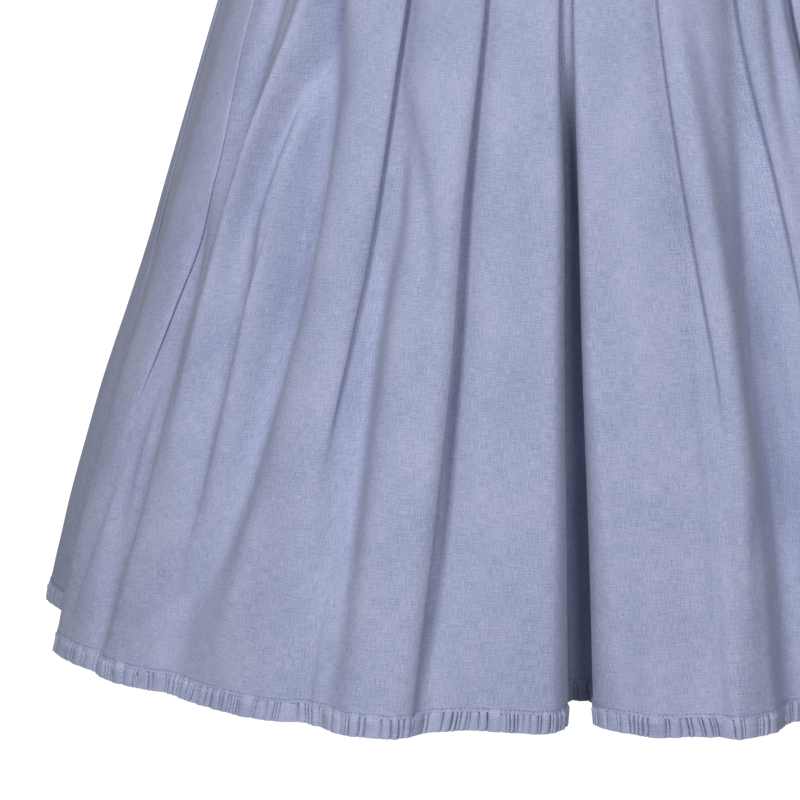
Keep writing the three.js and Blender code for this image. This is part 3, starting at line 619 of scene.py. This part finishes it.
def threadRow(name, lines):
    # short thread bars along each line of points (arrays of points by three, in mm)
    bm = bmesh.new()
    for line in lines:
        walk = np.concatenate([[0], np.cumsum(np.linalg.norm(np.diff(line, axis=0), axis=1))])
        for at in np.arange(stitch["pitch"], walk[-1] - stitch["pitch"] / 2, stitch["pitch"]):
            ends = [Vector([np.interp(s, walk, line[:, i]) for i in range(3)]) * mm
                    for s in (at - stitch["long"] / 2, at + stitch["long"] / 2)]
            middle, along = (ends[0] + ends[1]) / 2, ends[1] - ends[0]
            turn = along.to_track_quat("Z", "Y").to_matrix().to_4x4()
            bmesh.ops.create_cone(bm, cap_ends=True, segments=5, radius1=stitch["radius"] * mm,
                                  radius2=stitch["radius"] * mm, depth=along.length,
                                  matrix=Matrix.Translation(middle) @ turn)
    piece = placed(name, meshOf(bm, name))
    piece.data.materials.append(threadCotton)
    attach(piece, "root")
    return piece


def makeHemStitches(part):
    # a row of stitches just above the hem seam
    down = np.array([skirt["length"] - stitch["above"]])
    hx, hy = settleCloth(down, sectionRows(part, down))
    x, y = offsetLine(hx[0], hy[0], skirt["thick"] / 2 + stitch["proud"])
    line = np.stack([x, y, np.full(len(x), waistHeight - down[0])], 1)
    return threadRow("hemStitches" + part.capitalize(), [line])


# rings of the body on the bodice: mm above the waist, half width, half depth, swell of the bust,
# neckline's and armhole's angle from the centre; 0 = closed at the centre, 90 = the side seam
frontRows = [
    (0.3, 126.5, 95.5, 0, 0, 90), (30, 128, 96.5, 0, 0, 90), (60, 130.5, 98, 0, 0, 90),
    (95, 135, 102, 1.5, 0, 90), (125, 140, 110, 5, 0, 90), (150, 144, 117.5, 8, 0, 90),
    (172, 147, 121, 9, 0, 90), (188, 149, 120, 8, 0, 89.4), (195, 149.7, 118.5, 7.5, 0, 81.5),
    (213, 151.5, 114, 5, 0, 71.5), (234, 153.5, 107.5, 2, 0, 63.5),
    (235.3, 153.7, 107, 1.8, 4, 62.4), (242, 154.5, 104.5, 1.2, 21, 60),
    (258, 156, 99, 0.5, 27.5, 56.5), (282, 158.5, 90.5, 0, 30.5, 53.5),
    (312, 161, 77.5, 0, 31.2, 52), (342, 163, 61, 0, 31.2, 51.3), (368, 164.5, 41, 0, 31.2, 51),
    (385, 165, 22, 0, 31.2, 51), (393, 165, 8.5, 0, 31.2, 51), (395, 165, 0.4, 0, 31.2, 51),
]
backRows = [
    (0.3, 126.5, 95.5, 0, 0, 90), (30, 128, 93.5, 0, 0, 90), (60, 130.5, 92.5, 0, 0, 90),
    (95, 135, 92.5, 0, 0, 90), (140, 142, 96, 0, 0, 90), (188, 149, 101, 0, 0, 89.4),
    (196, 149.8, 101.5, 0, 0, 81.5), (218, 152, 102.3, 0, 0, 71), (255, 156, 101, 0, 0, 61),
    (282, 158.5, 97, 0, 0, 56), (290, 159.5, 95.5, 0, 19, 55), (304, 160.5, 91.5, 0, 27, 53.5),
    (325, 162, 83, 0, 31.2, 52), (350, 163.5, 67.5, 0, 31.2, 51.3), (372, 164.7, 46.5, 0, 31.2, 51),
    (387, 165, 24, 0, 31.2, 51), (393.5, 165, 9.5, 0, 31.2, 51), (395, 165, 0.4, 0, 31.2, 51),
]
bodice = {
    "thick": 0.9,
    "rowSteps": 5,            # mesh rows between two rings
    "columns": 120,
    "overlap": 10.0,          # each front half passes the centre line by this much
    "liftOver": 1.95,         # the upper half lies this far outside the lower one
    "liftEnd": (34.0, 66.0),  # mm from the centre line where the lift has ended: below, at the neck
    "liftFade": 16.0,         # the width over which it ends
    "neckRow": 10,            # row of the front's table from which the neckline opens
    "bustAt": 34.0,           # degrees from the centre, and how wide the swell is
    "bustWide": 17.0,
    "waistIn": 1.0,           # the waist seam turns in by this much
    "waistDown": 2.0,         # and down behind the skirt
    "pullDeep": 0.5,          # the cloth's slow waves near the side: mm, degrees, width
    "pullAt": 75.0,
    "pullWide": 14.0,
    "sideDeep": 1.3,          # the dip of the cloth at its side seam
    "sideWide": 1.6,
    "seamDeep": 0.9,
    "seamWide": 1.3,
    # a shaped seam on each half: row of the table, angle from the centre
    "frontSeam": [(0, 24), (3, 29), (6, 34), (8, 39), (9, 47), (10, 60)],
    "backSeam": [(0, 22), (3, 26), (5, 33), (7, 46), (8, 58)],
    "stitchIn": 5.0,          # the edges' stitching is this far from the edge
    "stitchProud": 0.08,
    # places up the table, in mesh rows, from which the neck's and the armhole's stitches run
    "frontStitches": (65, 39),
    "backStitches": (49, 29),
    "edgeStitches": 50,       # and up to which the front edge's do
}


def bodicePlace(rows, back, v, angle, out):
    # points of the bodice at row places v and angles (degrees), moved outward by out
    up, a, b, swell = (smoothTable(range(len(rows)), [r[i] for r in rows], v) for i in range(4))
    out = out + swell * np.exp(-((np.abs(angle) - bodice["bustAt"]) / bodice["bustWide"]) ** 2)
    x, y = ellipsePoint(a, b, angle, out)
    return x, -y if back else y, waistHeight + up


def neckStart(rows):
    # the last row of the back that is whole, under the neckline
    return next(i for i, row in enumerate(rows) if row[4]) - 1


def edgeAngles(rows, back, v):
    # the cloth's two edges at row places v: neckline or centre, then armhole or side
    inner = [r[4] if r[4] or back else -math.asin(bodice["overlap"] / r[1]) / rad for r in rows]
    neckline = np.interp(v, range(len(rows)), inner)
    if back:
        # the neckline is level at the centre back, and rounds off above it
        start = neckStart(rows)
        above = np.clip(v - start, 0, 1)
        round01 = np.sqrt(above * (2 - above))
        neckline = np.where((above > 0) & (above < 1), inner[start + 1] * round01, neckline)
    return neckline, np.interp(v, range(len(rows)), [r[5] for r in rows])


def liftAt(v, x):
    # how far the upper front half is lifted over the lower one: wider where the neckline opens,
    # none two rows above
    low, high = (np.clip((end - x) / bodice["liftFade"], 0, 1) for end in bodice["liftEnd"])
    high = high * np.clip(bodice["neckRow"] + 2 - v, 0, 1)
    return bodice["liftOver"] * (low + (high - low) * np.clip(v - bodice["neckRow"], 0, 1))


def bodiceHalf(rows, back, side):
    # points of one half of the front or the back, out from the neckline or centre to its side
    seam = bodice["backSeam" if back else "frontSeam"]
    last = len(rows) - 1
    v = np.linspace(0, last, last * bodice["rowSteps"] + 1)
    if back:      # closer rows where the neckline is nearly level
        start = neckStart(rows)
        v = np.where((v > start) & (v < start + 1), start + (v - start) ** 2, v)
    inner, outer = edgeAngles(rows, back, v)
    u = np.linspace(0, 1, bodice["columns"])
    angle = inner[:, None] + (outer - inner)[:, None] * u
    vv = v[:, None] + 0 * angle
    x, y, z = bodicePlace(rows, back, vv, angle, 0 * angle)
    rate = np.hypot(np.gradient(x, axis=1), np.gradient(y, axis=1)) / np.gradient(angle, axis=1)
    seamAt = np.interp(vv, *zip(*seam))
    shown = np.clip((seam[-1][0] - vv) * 2 + 0.6, 0, 1)
    out = -bodice["seamDeep"] * shown * np.exp(-((angle - seamAt) * rate / bodice["seamWide"]) ** 2)
    # cloth pulls a little across the body between the seams, and dips under its side seam
    near = np.exp(-((angle - bodice["pullAt"]) / bodice["pullWide"]) ** 2)
    out = out + bodice["pullDeep"] * np.sin(vv * 2.2 + angle * 0.05) * near
    sewn, toSide = np.clip((outer[:, None] - 85) / 4.5, 0, 1), (90 - angle) * rate
    out = out - sewn * bodice["sideDeep"] * np.exp(-(toSide / bodice["sideWide"]) ** 2)
    if not back and side < 0:
        out = out + liftAt(vv, x)
    # the lowest row turns in and down behind the skirt's upper edge, as the sewn seam does
    turnIn = np.clip(1 - vv * bodice["rowSteps"], 0, 1)
    x, y, z = bodicePlace(rows, back, vv, side * angle, out - bodice["waistIn"] * turnIn)
    return x, y, z - bodice["waistDown"] * turnIn


def makeBodiceFront(side):
    x, y, z = bodiceHalf(frontRows, False, side)
    hand = "left" if side < 0 else "right"
    piece = gridPiece("bodiceFront" + hand.capitalize(), x, y, z,
                      (alongRows(x, y), z - waistHeight))
    fitted(piece, bodice["thick"], "bodice_front_" + hand)
    return piece, np.stack([x, y, z], 2)


def makeBodiceBack():
    # both halves are laid out from the centre, then joined there
    bm, halves = bmesh.new(), []
    for side in (-1, 1):
        x, y, z = bodiceHalf(backRows, True, side)
        walk = alongRows(x, y)
        half = gridPiece("half", x, y, z, (side * np.abs(walk - walk[:, :1]), z - waistHeight))
        bm.from_mesh(half.data)
        bpy.data.objects.remove(half)
        halves.append(np.stack([x, y, z], 2))
    bmesh.ops.remove_doubles(bm, verts=bm.verts, dist=0.02 * mm)
    bmesh.ops.recalc_face_normals(bm, faces=bm.faces)
    piece = placed("bodiceBack", meshOf(bm, "bodiceBack"))
    return fitted(piece, bodice["thick"], "bodice_back"), halves


def sewnLines(places, back, side):
    # lines of stitching inside the neckline and armhole, and down the front's edge
    inward = bodice["stitchIn"]
    walk = np.linalg.norm(np.diff(places, axis=1), axis=2).cumsum(axis=1)
    walk = np.concatenate([np.zeros((len(places), 1)), walk], 1)
    rise = np.gradient(places, axis=0)
    across = np.gradient(places, axis=1)
    normal = np.cross(across, rise)
    normal /= np.linalg.norm(normal, axis=2)[..., None]
    normal *= np.sign((normal[..., :2] * places[..., :2]).sum(2))[..., None]
    shell = places + normal * (bodice["thick"] / 2 + bodice["stitchProud"])

    def atDistance(rows, distance):
        # below 0 it is measured back from the rows' far ends
        line = []
        for r in rows:
            at = distance if distance > 0 else walk[r, -1] + distance
            line.append([np.interp(at, walk[r], shell[r, :, i]) for i in range(3)])
        return np.array(line)

    neck, arm = bodice["backStitches" if back else "frontStitches"]
    end = len(places) - 2
    lines = [atDistance(range(neck, end), inward), atDistance(range(arm, end), -inward)]
    if not back and side < 0:
        lines.append(atDistance(range(bodice["edgeStitches"]), inward))
    return lines


button = {
    "ups": [26, 70, 114, 158, 202],  # mm above the waist
    "radius": 7.0,
    "height": 3.6,
    "clear": 1.4,             # its back's distance from the middle of the upper front half
    "turns": 48,
    # its half section: share of the radius, share of the height
    "section": [(0, 0), (0.86, 0), (0.97, 0.12), (1.0, 0.26), (0.99, 0.42), (0.94, 0.56),
                (0.87, 0.62), (0.80, 0.60), (0.74, 0.62), (0.62, 0.76), (0.44, 0.9), (0.22, 0.98),
                (0, 1.0)],
}


def makeButton(i, up):
    ups, _, depths, *_ = zip(*[row for row in frontRows if row[4] == 0])

    def front(u):
        return float(smoothTable(ups, depths, u))

    # it lies on the slope of the cloth under it
    tilt = math.atan((front(up + 4) - front(up - 4)) / 8)
    out = bodice["liftOver"] + button["clear"]
    centre = (0, -front(up) - out * math.cos(tilt), waistHeight + up - out * math.sin(tilt))
    place = Matrix.Translation(Vector(centre) * mm) @ Matrix.Rotation(math.pi + tilt, 4, "X")
    turns = button["turns"]
    bm = bmesh.new()
    rings = []
    for share, high in button["section"]:
        radius, y = share * button["radius"] * mm, high * button["height"] * mm
        if share == 0:
            rings.append([bm.verts.new(place @ Vector((0, y, 0)))] * turns)
            continue
        rings.append([bm.verts.new(place @ Vector((radius * math.cos(t), y, radius * math.sin(t))))
                      for t in (2 * math.pi * k / turns for k in range(turns))])
    for a, b in zip(rings, rings[1:]):
        for k in range(turns):
            corners = [a[k], a[(k + 1) % turns], b[(k + 1) % turns], b[k]]
            bm.faces.new(list(dict.fromkeys(corners)))
    bmesh.ops.recalc_face_normals(bm, faces=bm.faces)
    piece = placed("button%d" % i, meshOf(bm, "button%d" % i))
    piece.data.polygons.foreach_set("use_smooth", [True] * len(piece.data.polygons))
    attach(piece, "root")
    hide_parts("button_%d" % i)
    return piece


# streaks: cycles a metre across and down the cloth, noise detail, roughness; weight: how far
# each moves the mix from warp colour to weft colour
weave = {
    "threads": 1500.0,        # threads a metre
    "warpSlub": {"streaks": (2500, 150, 2.0, 0.6), "weight": 0.95},  # thin, down the cloth
    "weftSlub": {"streaks": (120, 2300, 2.0, 0.6), "weight": 0.8},  # and across it
    "speck": {"streaks": (2500, 2300, 2.0, 0.7), "weight": 2.5},
    "cloud": {"streaks": (28, 20, 3.0, 0.55), "weight": 0.5},
    "crossRelief": 0.35,
    "speckRelief": 1.1,
    "reliefHeight": 0.05,     # mm
    "reliefStrength": 0.5,
}

# the shaders' values, by the names of their sockets
clothLook = {"Roughness": 0.88, "Specular IOR Level": 0.25, "Sheen Weight": 0.18,
             "Sheen Roughness": 0.45}
clothColour = {
    "skirtChambray": {"warp": (0.19, 0.22, 0.38), "weft": (0.45, 0.48, 0.63)},
    "ruffleChambray": {"warp": (0.20, 0.23, 0.39), "weft": (0.47, 0.50, 0.65)},
}
plainLook = {
    "threadCotton": {"Base Color": (0.17, 0.20, 0.36, 1), "Roughness": 0.7},
    "buttonPearl": {"Base Color": (0.30, 0.33, 0.45, 1), "Roughness": 0.32},
}


def nodeIn(tree, kind, **settings):
    node = tree.nodes.new(kind)
    for name, value in settings.items():
        setattr(node, name, value)
    return node


def chambrayGroup():
    # woven chambray: white weft through blue warp, with slubs, clouding and a fine relief
    group = bpy.data.node_groups.new("chambrayWeave", "ShaderNodeTree")
    face = group.interface
    for name, kind, value in (("warp", "NodeSocketColor", (0.30, 0.33, 0.52, 1)),
                              ("weft", "NodeSocketColor", (0.56, 0.60, 0.74, 1)),
                              ("threads", "NodeSocketFloat", weave["threads"]),
                              ("slubs", "NodeSocketFloat", 1.0),
                              ("clouding", "NodeSocketFloat", weave["cloud"]["weight"])):
        socket = face.new_socket(name=name, in_out="INPUT", socket_type=kind)
        socket.default_value = value
    face.new_socket(name="colour", in_out="OUTPUT", socket_type="NodeSocketColor")
    face.new_socket(name="relief", in_out="OUTPUT", socket_type="NodeSocketFloat")
    given = nodeIn(group, "NodeGroupInput")
    put = nodeIn(group, "NodeGroupOutput")
    link = group.links.new
    uv = nodeIn(group, "ShaderNodeUVMap", uv_map="flatCloth")

    def streaks(scaleX, scaleY, detail, rough):
        place = nodeIn(group, "ShaderNodeMapping")
        place.inputs["Scale"].default_value = (scaleX, scaleY, 1)
        link(uv.outputs["UV"], place.inputs["Vector"])
        noise = nodeIn(group, "ShaderNodeTexNoise", noise_dimensions="2D")
        noise.inputs["Scale"].default_value = 1.0
        noise.inputs["Detail"].default_value = detail
        noise.inputs["Roughness"].default_value = rough
        link(place.outputs["Vector"], noise.inputs["Vector"])
        return noise.outputs["Fac"]

    def math2(kind, a, b, clamp=False):
        node = nodeIn(group, "ShaderNodeMath", operation=kind, use_clamp=clamp)
        for socket, value in zip(node.inputs, (a, b)):
            if isinstance(value, (int, float)):
                socket.default_value = value
            else:
                link(value, socket)
        return node.outputs[0]

    def centred(value, weight):
        return math2("MULTIPLY", math2("SUBTRACT", value, 0.5), weight)

    warpSlub, weftSlub, speck, cloud = (streaks(*weave[name]["streaks"])
                                        for name in ("warpSlub", "weftSlub", "speck", "cloud"))
    slubs = math2("ADD", centred(weftSlub, weave["weftSlub"]["weight"]),
                  centred(warpSlub, weave["warpSlub"]["weight"]))
    mixed = math2("MULTIPLY", slubs, given.outputs["slubs"])
    mixed = math2("ADD", mixed, centred(speck, weave["speck"]["weight"]))
    mixed = math2("ADD", mixed, centred(cloud, given.outputs["clouding"]))
    share = math2("ADD", mixed, 0.5, clamp=True)
    blend = nodeIn(group, "ShaderNodeMix", data_type="RGBA")
    link(share, blend.inputs["Factor"])
    link(given.outputs["warp"], blend.inputs["A"])
    link(given.outputs["weft"], blend.inputs["B"])
    link(blend.outputs["Result"], put.inputs["colour"])

    # plain weave relief: two crossed waves at the thread count
    split = nodeIn(group, "ShaderNodeSeparateXYZ")
    link(uv.outputs["UV"], split.inputs["Vector"])
    turn = math2("MULTIPLY", given.outputs["threads"], 2 * math.pi)
    waveX = math2("SINE", math2("MULTIPLY", split.outputs["X"], turn), 0)
    waveY = math2("SINE", math2("MULTIPLY", split.outputs["Y"], turn), 0)
    crossed = math2("MULTIPLY", math2("MULTIPLY", waveX, waveY), weave["crossRelief"])
    relief = math2("ADD", crossed, math2("ADD", math2("MULTIPLY", speck, weave["speckRelief"]),
                                         math2("ADD", warpSlub, weftSlub)))
    link(relief, put.inputs["relief"])
    return group


def plainMaterial(name, look):
    material = bpy.data.materials.new(name)
    material.use_nodes = True
    for socket, value in look.items():
        material.node_tree.nodes["Principled BSDF"].inputs[socket].default_value = value
    return material


def clothMaterial(name, group):
    material = plainMaterial(name, clothLook)
    tree = material.node_tree
    shader = tree.nodes["Principled BSDF"]
    woven = nodeIn(tree, "ShaderNodeGroup", node_tree=group)
    for thread, shade in clothColour[name].items():
        woven.inputs[thread].default_value = (*shade, 1)
    bump = nodeIn(tree, "ShaderNodeBump")
    bump.inputs["Strength"].default_value = weave["reliefStrength"]
    bump.inputs["Distance"].default_value = weave["reliefHeight"] * mm
    tree.links.new(woven.outputs["colour"], shader.inputs["Base Color"])
    tree.links.new(woven.outputs["relief"], bump.inputs["Height"])
    tree.links.new(bump.outputs["Normal"], shader.inputs["Normal"])
    return material


def makeCamera():
    data = bpy.data.cameras.new("photoCamera")
    data.lens = camera["lens"]
    data.sensor_width = camera["sensor"]
    data.clip_end = 100
    seat = placed("photoCamera", data)
    hem = waistHeight - skirt["length"] - ruffle["height"]
    seat.location = (0, -camera["inFront"], hem * mm + camera["aboveHem"])
    seat.rotation_euler = (math.pi / 2 - camera["lookDown"] * rad, 0, camera["lookLeft"] * rad)
    bpy.context.scene.camera = seat


def softbox(name, made):
    data = bpy.data.lights.new(name, "AREA")
    data.shape = "SQUARE"
    data.size = made["size"]
    data.energy = made["power"]
    lamp = placed(name, data)
    lamp.location = made["at"]
    aim = Vector(made["to"]) - Vector(made["at"])
    lamp.rotation_euler = aim.to_track_quat("-Z", "Y").to_euler()


def makeStudio():
    scene = bpy.context.scene
    scene.view_settings.view_transform = "Standard"
    scene.view_settings.look = "None"
    world = bpy.data.worlds.new("studio")
    scene.world = world
    world.use_nodes = True
    tree = world.node_tree
    ground = tree.nodes["Background"]
    ground.inputs["Color"].default_value = (1, 1, 1, 1)
    ray = nodeIn(tree, "ShaderNodeLightPath")
    level = nodeIn(tree, "ShaderNodeMapRange")
    level.inputs["To Min"].default_value = light["world"]
    level.inputs["To Max"].default_value = light["ground"]
    tree.links.new(ray.outputs["Is Camera Ray"], level.inputs["Value"])
    tree.links.new(level.outputs["Result"], ground.inputs["Strength"])
    for name in ("left", "right", "top", "back"):
        softbox(name, light[name])


makeCamera()
makeStudio()
print("camera and studio ready")

weaveGroup = chambrayGroup()
skirtCloth = clothMaterial("skirtChambray", weaveGroup)
ruffleCloth = clothMaterial("ruffleChambray", weaveGroup)
threadCotton = plainMaterial("threadCotton", plainLook["threadCotton"])

skirts = {}
for part in ("front", "back"):
    body = makeSkirtPiece(part)
    body.data.materials.append(skirtCloth)
    frill = makeRuffle(part)
    frill.data.materials.append(ruffleCloth)
    skirts[part] = (body, frill, makeHemStitches(part))
print("skirt, ruffles and stitches ready")

fronts = []
for side in (-1, 1):
    half, places = makeBodiceFront(side)
    half.data.materials.append(skirtCloth)
    thread = threadRow(half.name + "Stitches", sewnLines(places, False, side))
    fronts.append(half)
backPiece, backPlaces = makeBodiceBack()
backPiece.data.materials.append(skirtCloth)
thread = threadRow("bodiceBackStitches", sum([sewnLines(p, True, 0) for p in backPlaces], []))
for part, holders in (("front", fronts), ("back", [backPiece])):
    body, frill, thread = skirts[part]
buttonPearl = plainMaterial("buttonPearl", plainLook["buttonPearl"])
for i, up in enumerate(button["ups"], 1):
    makeButton(i, up).data.materials.append(buttonPearl)
print("bodice and buttons ready")
